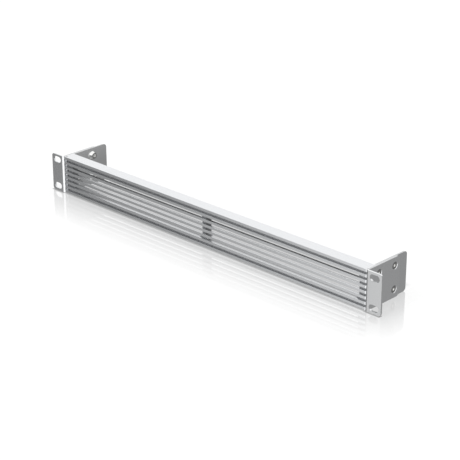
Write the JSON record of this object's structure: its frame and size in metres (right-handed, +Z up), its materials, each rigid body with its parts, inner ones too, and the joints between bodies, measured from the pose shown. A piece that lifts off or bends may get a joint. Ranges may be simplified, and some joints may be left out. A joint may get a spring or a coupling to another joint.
{
  "type": "vented rack panel",
  "caption": "Silver finned vent panel that closes a single unit of a 19-inch rack and lets air through, with slotted ears screwed to flat side plates",
  "frame": {"origin": "centre of the bounding box in X and Y, on the underside", "axes": "+X along the panel to the viewer's right, the finned front faces -Y, the side plates reach back along +Y, +Z up"},
  "size_m": [0.4826, 0.0634, 0.0436],
  "materials": {
    "anodised_front": "satin anodised",
    "painted_sheet": "satin silver",
    "zinc_fasteners": "bright zinc"
  },
  "bodies": {
    "root": {"front_panel": "anodised_front", "left_side_plate": "painted_sheet", "right_side_plate": "painted_sheet", "left_rack_ear": "painted_sheet", "right_rack_ear": "painted_sheet", "front_lower_ear_screws": "zinc_fasteners", "front_upper_ear_screws": "zinc_fasteners", "rear_lower_ear_screws": "zinc_fasteners", "rear_upper_ear_screws": "zinc_fasteners", "front_lower_press_nuts": "zinc_fasteners", "front_upper_press_nuts": "zinc_fasteners", "rear_lower_press_nuts": "zinc_fasteners", "rear_upper_press_nuts": "zinc_fasteners", "lower_end_screws": "zinc_fasteners", "upper_end_screws": "zinc_fasteners"}
  },
  "joints": []
}
